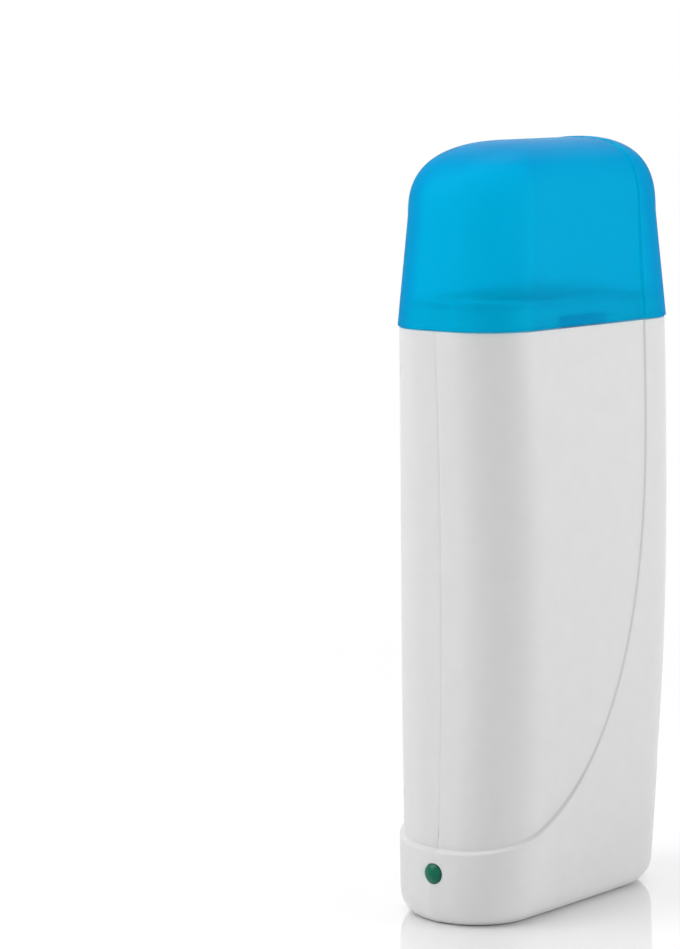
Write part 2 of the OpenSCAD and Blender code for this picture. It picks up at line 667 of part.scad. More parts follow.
// A dome's profile from its tip, at -rise on the axis, out to radius r at zero
function dome_profile(r, rise) = let (big = (sq(r) + sq(rise)) / (2 * rise), top = asin(r / big))
    [for (i = [0:lens_steps]) let (a = top * i / lens_steps) [big * sin(a), big * (1 - cos(a)) - rise]];
module indicator_lens() {
    r = lens_d / 2;
    bore_r = lamp_d / 2 + slip;
    bore_low = 1.4;
    back = lens_seat + flange_t;
    color([0.0, 0.42, 0.3]) translate([lens_front(), 0, lens_h]) rotate([0, 90, 0])
        rotate_extrude($fn = round_fn) polygon(concat(dome_profile(r, lens_proud), [[r, lens_seat],
            [r + 1, lens_seat], [r + 1, back], [bore_r, back], [bore_r, bore_low], [0, bore_low]]));
}
lamp_x = lens_front() + 2.2;
module indicator_lamp() {
    r = lamp_d / 2;
    body = r + 4;
    rim = lens_front() + lens_seat + flange_t + slip - lamp_x;
    rim_t = 0.8;
    leg = 0.5;
    leg_y = 0.95;
    color([0.75, 0.85, 0.78]) translate([lamp_x, 0, lens_h]) {
        rotate([0, 90, 0]) rotate_extrude($fn = round_fn) translate([0, r])
            polygon(concat(dome_profile(r, r), [[r, rim - r], [r + 0.4, rim - r], [r + 0.4, rim + rim_t - r],
                [r, rim + rim_t - r], [r, body - r], [0, body - r]]));
        for (s = [-1, 1]) translate([body - eps, s * leg_y - leg / 2, -leg / 2])
            cube([board_x - lamp_x - body + eps, leg, leg]);
    }
}
module lamp_board() {
    color([0.1, 0.4, 0.2]) translate([board_x, -board_half, board_low])
        cube([board_t, 2 * board_half, board_high - board_low]);
}
module lamp_resistor() {
    r = 1.1;
    len = 6.4;
    color([0.82, 0.7, 0.5]) translate([board_x + board_t + r, 0, board_high - 4]) rotate([90, 0, 0]) {
        translate([0, 0, -len / 2]) cylinder(r = r, h = len, $fn = round_fn);
        translate([0, 0, -len / 2 - 1.2]) cylinder(r = 0.3, h = len + 2.4, $fn = 24);
    }
}

// ---- The power inlet

inlet_back = inlet_face() - inlet_deep;         // floor of the recess
inlet_end = inlet_back - 3;                     // inner end of the inlet's housing
module inlet_socket() {
    color([0.09, 0.09, 0.1]) translate([0, 0, inlet_h]) rotate([90, 0, 90]) difference() {
        union() {
            translate([0, 0, inlet_end]) linear_extrude(height = inlet_face() - inlet_end)
                stadium(inlet_w + 2 * inlet_t, inlet_tall + 2 * inlet_t);
            translate([0, 0, inlet_end + 1]) linear_extrude(height = 2)
                square([inlet_w + 5, inlet_tall - 2], center = true);
        }
        translate([0, 0, inlet_back]) linear_extrude(height = inlet_deep + 1) stadium(inlet_w, inlet_tall);
        for (s = [-1, 1]) translate([0, s * pin_pitch / 2, inlet_end - 1])
            cylinder(d = pin_d + 0.04, h = 6, $fn = round_fn);
    }
}
pin_tab = 5.5;                                  // solder tab: length, width and thickness
pin_tab_w = 3.2;
pin_tab_t = 0.8;
pin_root = 0.6;                                 // the pin overlaps its tab by this much
pin_shy = 3;                                    // and ends this far inside the recess's rim
module inlet_pins() {
    color([0.8, 0.78, 0.7]) for (s = [-1, 1]) translate([0, 0, inlet_h + s * pin_pitch / 2]) {
        translate([inlet_end - pin_root, 0, 0]) rotate([0, 90, 0])
            cylinder(d = pin_d, h = inlet_face() - inlet_end + pin_root - pin_shy, $fn = round_fn);
        translate([inlet_end - pin_tab, -pin_tab_w / 2, -pin_tab_t / 2])
            cube([pin_tab, pin_tab_w, pin_tab_t]);
    }
}

// ---- The internal leads, round tubes swept along their routes

lead_r = 0.9;
lamp_lead_r = 0.7;
lead_sides = 8;
tab_end = inlet_end - pin_tab;
pin_low = inlet_h - pin_pitch / 2;
pin_high = inlet_h + pin_pitch / 2;
contact_low = stack_low - 1 - tab_len;
// A smooth route through the given points, straight at both ends
function blend_pt(p0, p1, p2, p3, t) = 0.5 * (2 * p1 + (p2 - p0) * t + (2 * p0 - 5 * p1 + 4 * p2 - p3) * sq(t)
    + (3 * p1 - p0 - 3 * p2 + p3) * t * sq(t));
function route(p, n = 4) = let (m = len(p) - 1) [p[0], for (i = [1:m - 2]) for (k = [0:n - 1])
    blend_pt(p[i - 1], p[i], p[i + 1], p[i + 2], k / n), p[m - 1], p[m]];
function ahead(p, i) = let (d = p[min(len(p) - 1, i + 1)] - p[max(0, i - 1)]) d / norm(d);
module tube(p, r = lead_r) {
    rings = [for (i = [0:len(p) - 1])
        let (d = ahead(p, i), a = cross(d, abs(d.y) < 0.8 ? [0, 1, 0] : [0, 0, 1]),
             s = a / norm(a), v = cross(d, s))
        [for (k = [0:lead_sides]) let (w = 360 * (k % lead_sides) / lead_sides)
            tidy(p[i] + r * (cos(w) * s + sin(w) * v))]];
    function disc(ring) = [for (k = [0:lead_sides - 1]) ring[k]];
    last = disc(rings[len(rings) - 1]);
    closed([rings], [disc(rings[0]), [for (k = [lead_sides - 1:-1:0]) last[k]]]);
}
fuse_foot = fuse_low - fuse_tail - crimp_len / 2;
fuse_head = fuse_high + fuse_tail + crimp_len / 2;
neutral_x = sleeve_w + lead_r + slip;           // the neutral lead runs up along the sleeve's back
module lead_live() {
    color([0.55, 0.3, 0.12]) tube(route([[tab_end, 0, pin_high], [tab_end - 1.5, 0, pin_high],
        [tab_end - 4, 0.4, pin_high + 2], [tab_end - 4, 1, pin_high + 9], [fuse_x - 7, 0.8, fuse_foot - 4.8],
        [fuse_x - 1.2, 0.1, fuse_foot - 2.8], [fuse_x, 0, fuse_foot - 1.3], [fuse_x, 0, fuse_foot]]));
}
module lead_neutral() {
    color([0.15, 0.3, 0.7]) tube(route([[tab_end, 0, pin_low], [tab_end - 1.5, 0, pin_low],
        [tab_end - 6, -1, pin_low + 3], [tab_end - 7, -3, pin_low + 12], [tab_end - 2, -4.4, shelf_h - 7],
        [neutral_x + 1, -4.4, shelf_h - 1], [neutral_x + 0.4, -4.4, shelf_h + 8],
        [neutral_x, -tab_y, contact_low - 5], [neutral_x, -tab_y, contact_low - 1.5],
        [neutral_x, -tab_y, contact_low]]));
}
module lead_fuse() {
    x = outer_contact_x + contact_t / 2;
    color([0.55, 0.3, 0.12]) tube(route([[fuse_x, 0, fuse_head], [fuse_x, 0, fuse_head + 0.8],
        [x, tab_y, contact_low - 0.8], [x, tab_y, contact_low]]));
}
module lead_lamp() {
    end_x = board_x + board_t;
    y = 4;
    z = board_low + 4;
    color([0.15, 0.15, 0.16]) for (s = [-1, 1])
        tube(route([[tab_end, s * y, inlet_h - 4], [0, s * y, base_t + 6], [end_x + 5, s * y, z],
            [end_x + 1.5, s * y, z], [end_x, s * y, z]], 3), lamp_lead_r);
}

// ---- The screws that hold the shells together

module case_screws() {
    head_t = 2;
    slot_w = 0.7;
    slot_l = 3;
    color([0.6, 0.6, 0.62]) for (p = screw_spots) translate([p[0], 0, p[1]]) rotate([90, 0, 0]) difference() {
        union() {
            translate([0, 0, -screw_seat]) cylinder(d = screw_d, h = screw_len - 1, $fn = round_fn);
            translate([0, 0, screw_len - screw_seat - 1 - eps])
                cylinder(d1 = screw_d, d2 = 1, h = 1, $fn = round_fn);
            translate([0, 0, -screw_seat - head_t]) cylinder(d = screw_head_d, h = head_t, $fn = round_fn);
        }
        for (a = [0, 90]) rotate([0, 0, a])
            translate([-slot_l / 2, -slot_w / 2, -screw_seat - head_t - 1]) cube([slot_l, slot_w, 2]);
    }
}

shell_right();
shell_left();
cap();
mouth_guide();
heat_sleeve();
chamber_foot();
contact_film();
contact_plates();
heating_pills();
pressure_plate();
leaf_spring();
mica_sheet();
thermal_fuse();
fuse_sleeve();
fuse_crimps();
indicator_lens();
indicator_lamp();
lamp_board();
lamp_resistor();
inlet_socket();
inlet_pins();
lead_live();
lead_neutral();
lead_fuse();
lead_lamp();
case_screws();
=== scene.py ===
# %% [markdown]
# # A roll-on wax heater
# The heater is a slim upright housing of two moulded half shells, with a blue translucent
# cap on top and a small green lens low on its front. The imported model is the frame: it
# holds every inner piece at its place. The two shells and the cap have soft moulded
# curves that show in every highlight, so they are modelled again here with finer meshes
# from the same curves. All the other pieces keep their solids and get a finish.

# %% Load the frame
import json
import math

import bpy
import numpy as np
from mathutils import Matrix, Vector


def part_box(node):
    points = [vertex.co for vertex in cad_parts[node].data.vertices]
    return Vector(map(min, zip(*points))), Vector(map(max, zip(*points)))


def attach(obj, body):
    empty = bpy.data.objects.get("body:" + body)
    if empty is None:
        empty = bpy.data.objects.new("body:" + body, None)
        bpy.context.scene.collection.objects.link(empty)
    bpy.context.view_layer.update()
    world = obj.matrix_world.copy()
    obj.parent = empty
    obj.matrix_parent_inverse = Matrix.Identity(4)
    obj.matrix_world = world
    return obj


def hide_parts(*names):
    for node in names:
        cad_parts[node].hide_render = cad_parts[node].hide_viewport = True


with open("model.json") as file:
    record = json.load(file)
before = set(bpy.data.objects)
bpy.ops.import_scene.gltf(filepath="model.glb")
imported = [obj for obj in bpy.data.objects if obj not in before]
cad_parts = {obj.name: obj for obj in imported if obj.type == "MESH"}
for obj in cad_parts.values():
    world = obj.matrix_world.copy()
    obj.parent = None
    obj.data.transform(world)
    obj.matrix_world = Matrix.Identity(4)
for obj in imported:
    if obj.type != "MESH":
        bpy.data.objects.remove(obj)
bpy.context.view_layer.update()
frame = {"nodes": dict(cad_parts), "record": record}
nodes = frame["nodes"]

# %% [markdown]
# ## Sizes of the housing
# The moulder's drawing gives a few heights and offsets, in millimetres. X runs from the
# front to the back and Z is up. The heights of the cap line and of the top are read from
# the frame, and the rest repeats the part's own driving dimensions, so that the fine
# meshes lie where the solids are.

# %% Sizes of the housing
MM = 0.001
cap_gap = 0.3                       # open gap at the cap line
seam_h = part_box("cap")[0][2] / MM - cap_gap
total_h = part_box("cap")[1][2] / MM
waist_front, front_flare, waist_h = 38.8, 3.2, 70
back_reach, back_draw = 41.6, 1.4
back_bend_h, back_bend_len = 110, 70  # the back leans in below this height, over this length
half_depth, belly_h, top_draw, base_draw = 21.2, 85, 1.45, 3.3
corner_r = 15
face_crown, end_crown = 0.029, 0.8  # swell of the broad sides, as a share, and of the ends, in mm
wall = 2
roll_h = 6.8                        # height of the rolled bottom edge
print("cap line at", round(seam_h, 2), "mm, top at", round(total_h, 2), "mm")

# %% [markdown]
# ## The outline at a height
# Seen from above, the housing is a rectangle with wide round corners, and its four sides
# swell a little. Going up it flares at the front, leans in at the lower back, and is
# deepest at the belly. One function gives a point of that outline, and everything else
# is laid on it. A share `u` runs from the middle of the front (0) round to the middle of
# the back (1).

# %% The outline at a height
def front_at(z):
    return waist_front + front_flare * ((z - waist_h) / (seam_h - waist_h)) ** 2


def back_at(z):
    return back_reach - back_draw * min(1, max(0, (back_bend_h - z) / back_bend_len)) ** 2


def depth_at(z):
    if z > belly_h:
        return half_depth - top_draw * ((z - belly_h) / (seam_h - belly_h)) ** 2
    return half_depth - base_draw * ((belly_h - z) / belly_h) ** 2


def body_level(z):
    """A level of the outline: x of the front, x of the back, half depth, corner radius."""
    return (-front_at(z), back_at(z), depth_at(z), corner_r)


flat_len = half_depth - corner_r
bend_len = corner_r * math.pi / 2
side_len = waist_front + back_reach - 2 * corner_r
half_len = 2 * flat_len + 2 * bend_len + side_len
k_front = flat_len / half_len
k_bend = k_front + bend_len / half_len
k_side = k_bend + side_len / half_len
k_back = k_side + bend_len / half_len


def outline_point(u, level, grow):
    """A point (x, y) of the outline on the -Y side, with the outline grown by that much."""
    xf, xb, h, r = level[0] - grow, level[1] + grow, level[2] + grow, level[3] + grow
    if u <= k_front:
        x, y = xf, -(h - r) * u / k_front
    elif u <= k_bend:
        a = math.pi * (1 + 0.5 * (u - k_front) / (k_bend - k_front))
        x, y = xf + r + r * math.cos(a), -(h - r) + r * math.sin(a)
    elif u <= k_side:
        f = (u - k_bend) / (k_side - k_bend)
        x, y = (xf + r) * (1 - f) + (xb - r) * f, -h
    elif u <= k_back:
        a = math.pi * (1.5 + 0.5 * (u - k_side) / (k_back - k_side))
        x, y = xb - r + r * math.cos(a), -(h - r) + r * math.sin(a)
    else:
        x, y = xb, -(h - r) * (1 - u) / (1 - k_back)
    mid, half = (xf + xb) / 2, (xb - xf) / 2
    return (mid + (x - mid) * (1 + end_crown / half * (1 - (y / h) ** 2)),
            y * (1 + face_crown * (1 - ((x - mid) / half) ** 2)))


def u_at_x(x, level):
    """The share u at which the broad side, or the bend behind it, has that x."""
    front, back, _, bend_r = level
    bent = (x - back + bend_r) / bend_r
    if bent <= 0:
        return k_bend + (x - front - bend_r) / (back - front - 2 * bend_r) * (k_side - k_bend)
    return k_side + (k_back - k_side) * (1 - math.acos(min(1, bent)) / math.pi * 2)


def skin_point(u, z, level, grow):
    return (*outline_point(u, level, grow), z)


print("half outline", round(half_len, 1), "mm long")

# %% [markdown]
# ## The sweep line
# A boot wraps the foot of the heater and climbs its back. Its edge is one curve, which
# starts level round the front, swings up in a quarter of a superellipse and then goes
# straight up and right over the cap. The surface steps out by about a millimetre there,
# over a narrow fillet that shows as a crisp line. On the broad side the panel rises a
# little towards the line, which makes the step finer there than round the nose.

# %% The sweep line
ring_h, boot_step, step_w, nose_swell = 19.6, 1.2, 0.7, 0.9
sweep_x, sweep_drop, sweep_power = 21.7, 10.3, 2.65
sweep_h = seam_h - sweep_drop
sweep_u = u_at_x(sweep_x, body_level(sweep_h))
straight_share = 0.14               # share of the rows that meet the straight stretch
panel_lift = 0.62                   # share of the step that the panel takes up beside the line
lift_holds, lift_dies = 0.55, 0.3   # shares of the rows over which that rise holds, then dies out
line_probe = 0.003                  # short step along the line that gives its direction


def sweep_point(t):
    """The sweep line as (u, z), from the cap line (t = 0) down to the front (t = 1)."""
    if t < straight_share:
        z = seam_h + (sweep_h - seam_h) * t / straight_share
        return np.array((u_at_x(sweep_x, body_level(z)), z))
    a = math.pi / 2 * (t - straight_share) / (1 - straight_share)
    e = 2 / sweep_power
    return np.array((sweep_u * max(0, math.cos(a)) ** e,
                     sweep_h - (sweep_h - ring_h) * max(0, math.sin(a)) ** e))


def beside_sweep(t, off):
    """The point that lies off millimetres to the front panel's side of the sweep line."""
    if t <= 0:
        side = np.array((-1.0, 0.0))
    elif t >= 1:
        side = np.array((0.0, 1.0))
    else:
        ahead, behind = sweep_point(min(1, t + line_probe)), sweep_point(max(0, t - line_probe))
        d = (ahead - behind) * (half_len, 1)
        side = np.array((d[1], -d[0])) / np.hypot(*d)
    c = sweep_point(t)
    return np.array((max(0, c[0] + side[0] * off / half_len), c[1] + side[1] * off))


def ease(a):
    a = min(1, max(0, a))
    return a * a * (3 - 2 * a)


def panel_share(t, along):
    """How far the panel has risen towards the boot, as a share of the step.

    It is level at the front joint (along = 0) and round the nose (t = 1).
    """
    return panel_lift * ease(2 * along - 1) * (1 - ease((t - lift_holds) / lift_dies))


def nose(u, z):
    """The extra swell of the boot's nose round the lens."""
    f = 1 - min(1, max(0, 2 * u / (k_front + k_bend)))
    return nose_swell * f * f if z < ring_h + step_w else 0


print("the sweep line's widest point:", [round(c, 3) for c in sweep_point(straight_share)])

# %% [markdown]
# ## Helpers for laying a skin
# A moulded skin like this is a net of smooth lines. The net starts as a grid primitive
# with as many rows and columns as there are lines, and each of its corners is then put
# in its place on the curves. Dragging them by hand would give the same net, but never
# as evenly. After that the usual tools take over: join, merge, fill and modifiers.

# %% Helpers for laying a skin
merge_within = 0.02 * MM            # corners closer than this are one
smooth_angle = math.radians(40)     # a fold sharper than this stays an edge
sharp_angle = math.radians(55)      # an edge sharper than this is broken by a bevel


def only(obj):
    bpy.ops.object.select_all(action="DESELECT")
    obj.select_set(True)
    bpy.context.view_layer.objects.active = obj


def named(name):
    obj = bpy.context.object
    obj.name = obj.data.name = name
    return obj


def turned(rows, side):
    """The rows, which are drawn on the -Y side, on the side that is asked for."""
    return [[(x, -side * y, z) for x, y, z in row] for row in rows]


def lay_grid(name, rows):
    """A grid primitive whose corners lie at rows[j][i], in millimetres."""
    bpy.ops.object.select_all(action="DESELECT")
    bpy.ops.mesh.primitive_grid_add(x_subdivisions=len(rows[0]) - 1, y_subdivisions=len(rows) - 1)
    obj = named(name)
    points = np.array(rows, dtype=float).reshape(-1) * MM
    obj.data.vertices.foreach_set("co", points)
    obj.data.update()
    return obj


def join(name, *objs):
    only(objs[0])
    for o in objs[1:]:
        o.select_set(True)
    bpy.ops.object.join()
    return named(name)


def in_edit_mode(obj, *steps):
    only(obj)
    bpy.ops.object.mode_set(mode="EDIT")
    bpy.ops.mesh.select_all(action="SELECT")
    for step in steps:
        step()
    bpy.ops.object.mode_set(mode="OBJECT")
    return obj


def merge():
    bpy.ops.mesh.remove_doubles(threshold=merge_within)


def outwards():
    bpy.ops.mesh.normals_make_consistent(inside=False)


def finish_with(obj, kind, **settings):
    """Adds one modifier and applies it."""
    only(obj)
    mod = obj.modifiers.new(kind.title(), kind)
    for key, value in settings.items():
        setattr(mod, key, value)
    bpy.ops.object.modifier_apply(modifier=mod.name)
    return obj


def smooth(obj):
    only(obj)
    bpy.ops.object.shade_smooth_by_angle(angle=smooth_angle)
    return obj


def place_where(obj, near, move):
    """Moves the corners for which near(x, y, z) holds, in millimetres."""
    for v in obj.data.vertices:
        p = [c / MM for c in v.co]
        if near(*p):
            v.co = [c * MM for c in move(*p)]
    obj.data.update()


print("corners merge within", merge_within, "m")

# %% [markdown]
# ## The rows of the housing's skin
# Each row of the net starts on the front joint, crosses the front panel, goes down over
# the step and runs on to the boot's edge. The upper rows end on the back joint and the
# lower rows fan out along the rolled bottom edge. Rows that follow the sweep line keep
# its fillet crisp all the way, which rows at a fixed height could not do.

# %% The rows of the housing's skin
straight_rows, back_rows, bend_rows, side_rows = 10, 26, 16, 14
panel_cols, step_cols, boot_cols = 34, 8, 22
panel_crowding = 1.15               # above 1, the columns crowd towards the front joint
last_row_rise = 3                   # the last row starts this far above the step round the nose
rim_us = ([1] + [k_back + (k_side - k_back) * i / bend_rows for i in range(bend_rows + 1)]
          + [k_side + (k_bend - k_side) * i / side_rows for i in range(1, side_rows)]
          + [k_bend + (k_front - k_bend) * i / bend_rows for i in range(bend_rows + 1)]
          + [k_front / 2, 0])
corner_row = straight_rows + back_rows
row_count = corner_row + len(rim_us) - 1
panel_low = ring_h + step_w / 2 + last_row_rise


def row_end(j):
    if j <= corner_row:
        return np.array((1, seam_h + (roll_h - seam_h) * j / corner_row))
    return np.array((rim_us[j - corner_row], roll_h))


def skin_row(j):
    """One row as (u, z, share of the step)."""
    t = j / row_count
    a = np.array((0, seam_h + (panel_low - seam_h) * t))
    b, c, d = beside_sweep(t, step_w / 2), beside_sweep(t, -step_w / 2), row_end(j)
    row = [(*(a + (b - a) * (k / panel_cols) ** panel_crowding), panel_share(t, k / panel_cols))
           for k in range(panel_cols)]
    low = panel_share(t, 1)
    row += [(*beside_sweep(t, step_w * (0.5 - k / step_cols)), low + (1 - low) * ease(k / step_cols))
            for k in range(step_cols + 1)]
    return row + [(*(c + (d - c) * k / boot_cols), 1) for k in range(1, boot_cols + 1)]


def skin_at(u, z, step):
    return skin_point(u, z, body_level(z), boot_step * step + nose(u, z) * step)


skin_rows = [[skin_at(*p) for p in skin_row(j)] for j in range(row_count + 1)]
print("skin net:", len(skin_rows), "rows of", len(skin_rows[0]))

# %% [markdown]
# ## The rolled bottom edge
# The foot of the housing turns in with a quarter round to a flat floor, so that it
# stands on a slightly smaller face and shows a soft dark line on the table. It turns in
# furthest at the back and least at the front. One bevel has the same width all round,
# so the round is laid as rows of its own instead.

# %% The rolled bottom edge
roll_end, roll_back, roll_side = 3.6, 7.4, 5.2
roll_steps = 10


def roll_row(i):
    a = math.pi / 2 * i / roll_steps
    f, level = 1 - math.cos(a), body_level(roll_h)
    level = (level[0] + roll_end * f, level[1] - roll_back * f,
             level[2] - roll_side * f, corner_r - roll_end * f)
    z = roll_h * (1 - math.sin(a))
    return [skin_point(u, z, level, boot_step + nose(u, roll_h)) for u in rim_us]


roll_rows = [roll_row(i) for i in range(roll_steps + 1)]
print("roll net:", len(roll_rows), "rows of", len(roll_rows[0]))

# %% [markdown]
# ## One half shell
# The two nets are joined, the floor is filled, and Solidify gives the moulded wall. The
# same points with Y turned round give the other half.

# %% One half shell
floor_within = 0.01 * MM            # corners this close to the table bound the floor


def floor_face():
    bpy.ops.mesh.select_all(action="DESELECT")
    bpy.ops.object.mode_set(mode="OBJECT")
    mesh = bpy.context.object.data
    for e in mesh.edges:
        ends = [mesh.vertices[i].co for i in e.vertices]
        e.select = all(c.z < floor_within for c in ends)
    bpy.ops.object.mode_set(mode="EDIT")
    bpy.ops.mesh.select_mode(type="EDGE")
    bpy.ops.mesh.edge_face_add()
    bpy.ops.mesh.select_mode(type="VERT")
    bpy.ops.mesh.select_all(action="SELECT")


def half_skin(name, side):
    """The outer skin of one half, as an open surface that faces outwards."""
    main, roll = lay_grid(name, turned(skin_rows, side)), lay_grid("roll", turned(roll_rows, side))
    obj = join(name, main, roll)
    in_edit_mode(obj, merge, floor_face, outwards)
    broad = max(obj.data.polygons, key=lambda p: -abs(p.center.x) - abs(p.center.z - belly_h * MM))
    if broad.normal.y * side < 0:
        in_edit_mode(obj, bpy.ops.mesh.flip_normals)
    return obj


def half_wall(obj):
    return finish_with(obj, "SOLIDIFY", thickness=wall * MM, offset=-1, use_even_offset=True)


right = half_wall(half_skin("housing_right", -1))
left = half_wall(half_skin("housing_left", 1))
for half in (right, left):
    depths = [round(v.co.y / MM, 2) for v in half.data.vertices]
    print(half.name, len(half.data.polygons), "faces, y", min(depths), "to", max(depths))

# %% [markdown]
# ## Openings in the shells
# The lens sits in a round hole and the power inlet in a stadium-shaped one, and both
# lie half in each shell. The left shell also has four counterbored holes for the
# screws. All of them are cut with plain cutters. A fine bevel then breaks the sharp
# edges, and leaves the hairline groove that shows down the front where the halves meet.

# %% Openings in the shells
slip = 0.15                         # play round a piece in its hole
lens_r, lens_h = 2.6 + slip, 13.6
inlet_h, recess_half_w, recess_half_tall, inlet_rim = 17.5, 4.3, 7.8, 1.4
inlet_half_w, inlet_half_tall = recess_half_w + inlet_rim + slip, recess_half_tall + inlet_rim + slip
screw_low, screw_top, screw_inset, screw_seat, screw_bore_r = 33, seam_h - 10.8, 7, 7, 2.8
screw_spots = [(x, z) for z in (screw_low, screw_top)
               for x in (-front_at(z) + screw_inset, back_at(z) - screw_inset)]
cutter_sides = 96
hole_cut_len, nose_cut_out = 12, 1  # the lens hole's cutter is moved out, to reach past the nose
screw_cut_from, screw_cut_len = 5, 30  # the screw cutter starts this far above the head's seat
edge_break, break_steps = 0.09, 2


def round_cutter(centre, radius, length, axis):
    turn = {"X": (0, math.pi / 2, 0), "Y": (math.pi / 2, 0, 0)}[axis]
    bpy.ops.object.select_all(action="DESELECT")
    bpy.ops.mesh.primitive_cylinder_add(vertices=cutter_sides, radius=radius * MM, depth=length * MM,
                                        location=[c * MM for c in centre], rotation=turn)
    bpy.ops.object.transform_apply(location=True, rotation=True, scale=True)
    return named("cutter")


def cut(obj, cutter):
    finish_with(obj, "BOOLEAN", object=cutter, operation="DIFFERENCE", solver="EXACT")


def break_edges(obj, width, **settings):
    return finish_with(obj, "BEVEL", width=width * MM, segments=break_steps, limit_method="ANGLE",
                       angle_limit=sharp_angle, use_clamp_overlap=False, **settings)


lens_place = (-front_at(lens_h) - nose_cut_out, 0, lens_h)
lens_cutter = round_cutter(lens_place, lens_r, hole_cut_len, "X")
inlet_cutter = round_cutter((back_at(inlet_h), 0, inlet_h), inlet_half_w, hole_cut_len, "X")
straight = inlet_half_tall - inlet_half_w
place_where(inlet_cutter, lambda x, y, z: True,
            lambda x, y, z: (x, y, z + (straight if z > inlet_h else -straight)))
for half in (right, left):
    cut(half, lens_cutter)
    cut(half, inlet_cutter)
for x, z in screw_spots:
    cut_middle = screw_seat + screw_cut_from + screw_cut_len / 2
    screw_cutter = round_cutter((x, cut_middle, z), screw_bore_r, screw_cut_len, "Y")
    cut(left, screw_cutter)
    bpy.data.objects.remove(screw_cutter)
bpy.data.objects.remove(lens_cutter)
bpy.data.objects.remove(inlet_cutter)
rim_depth = (depth_at(seam_h) + boot_step) * (1 + face_crown)
for half in (right, left):
    break_edges(half, edge_break, miter_outer="MITER_ARC")
    # where the step meets the cap line, the bevel's mitre runs a little past both
    place_where(half, lambda x, y, z: z > seam_h,
                lambda x, y, z: (x, max(-rim_depth, min(rim_depth, y)), seam_h))
    print(half.name, "cut,", len(half.data.polygons), "faces")

# %% [markdown]
# ## Screw wells
# Each screw head sits at the bottom of a deep moulded well. A ring for the seat is
# extruded up into a tube, whose rim follows the curved wall of the shell so that no gap
# shows, and Solidify gives it its wall.

# %% Screw wells
shank_hole_r, well_wall, well_rise, well_sides = 1.6, 1.2, 8, 48
depth_halvings = 30                 # how often the search for a place on the skin halves its range


def side_depth(x, z):
    """Half depth of the skin at a place on the broad side or its corners."""
    low, high = 0.0, 1.0
    for _ in range(depth_halvings):
        mid = (low + high) / 2
        if outline_point(mid, body_level(z), 0)[0] < x:
            low = mid
        else:
            high = mid
    return -outline_point(low, body_level(z), 0)[1]


def screw_well(x, z):
    bpy.ops.object.select_all(action="DESELECT")
    seat = (x * MM, screw_seat * MM, z * MM)
    bpy.ops.mesh.primitive_circle_add(vertices=well_sides, radius=shank_hole_r * MM,
                                      fill_type="NOTHING", location=seat,
                                      rotation=(math.pi / 2, 0, 0))
    bpy.ops.object.transform_apply(location=True, rotation=True, scale=True)
    well = named("screw_well")
    bpy.ops.object.mode_set(mode="EDIT")
    bpy.ops.mesh.select_all(action="SELECT")
    bpy.ops.mesh.extrude_edges_move()
    grow = screw_bore_r / shank_hole_r
    bpy.ops.transform.resize(value=(grow, 1, grow), center_override=seat)
    bpy.ops.mesh.extrude_edges_move(TRANSFORM_OT_translate={"value": (0, well_rise * MM, 0)})
    bpy.ops.object.mode_set(mode="OBJECT")
    place_where(well, lambda px, py, pz: py > screw_seat + well_rise / 2,
                lambda px, py, pz: (px, side_depth(px, pz) - wall / 2, pz))
    in_edit_mode(well, outwards)
    towards = sum(p.normal.dot(p.center - Vector((x * MM, p.center.y, z * MM)))
                  for p in well.data.polygons)
    if towards > 0:
        in_edit_mode(well, bpy.ops.mesh.flip_normals)
    return finish_with(well, "SOLIDIFY", thickness=well_wall * MM, offset=-1)


wells = [screw_well(x, z) for x, z in screw_spots]
print(len(wells), "screw wells")

# %% [markdown]
# ## The neck
# Above the cap line each shell ends in a thinner neck that the cap slips over. It is a
# strip laid along the top row of the skin, set in by the cap's wall and a running gap,
# with a slight taper, and it also gets its wall from Solidify.

# %% The neck
cap_wall, cap_proud, cap_draft, cap_side_draft = 1.4, 0.3, 4.5, 3.2
neck_gap, neck_wall, neck_h, mouth_t = 0.5, 1.4, 7.3, 1.6
neck_inset = cap_wall + neck_gap - cap_proud
neck_taper = neck_h * math.tan(math.radians(cap_draft))
neck_top = seam_h + neck_h - mouth_t
neck_root = 5                       # the neck's wall reaches this far down inside the shell
neck_rows, neck_break = 8, 0.25


def neck_row(z):
    share = max(0, (z - seam_h) / (neck_top - seam_h))
    return [skin_point(u, z, body_level(seam_h), boot_step * s - neck_inset - neck_taper * share)
            for u, _, s in skin_row(0)]


def neck_half(name, side):
    heights = [neck_top - (neck_top - seam_h + neck_root) * i / neck_rows
               for i in range(neck_rows + 1)]
    obj = lay_grid(name, turned([neck_row(z) for z in heights], side))
    if side < 0:
        in_edit_mode(obj, bpy.ops.mesh.flip_normals)
    finish_with(obj, "SOLIDIFY", thickness=neck_wall * MM, offset=-1, use_even_offset=True)
    return break_edges(obj, neck_break)


right = join("housing_right", right, neck_half("neck_right", -1))
left = join("housing_left", left, neck_half("neck_left", 1), *wells)
for half, node in ((right, "shell_right"), (left, "shell_left")):
    smooth(half)
    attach(half, "root")
    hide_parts(node)
    print(half.name, "replaces", node, "with", len(half.data.polygons), "faces")

# %% [markdown]
# ## The cap
# The cap carries the housing's outline on upwards with a moulding draft and closes in one
# smooth dome, which slopes in further at the front. The boot's step runs on over it. One
# half is laid as a net of levels that shrink to a narrow strip along the crown. The net
# comes down on the outside, turns round the rim and goes up again on the inside, so that
# the thin wall is closed. The other half is its mirror image.

# %% The cap
dome_h, dome_front, dome_back, dome_power, dome_share = 19.5, 34, 22.5, 2.65, 0.88
cap_step_top, rim_r = 0.3, 0.3
lift_fade = 12                      # the panel's rise beside the line dies out over this height
cap_low = seam_h + cap_gap
dome_low = total_h - cap_step_top - dome_h
dome_arc = math.acos((1 - dome_share) ** (dome_power / 2))
wall_levels, dome_levels, crown_rows = 24, 36, 3
cap_front_cols, cap_back_cols = 52, 26
cap_crowding, rim_steps = 1.1, 9


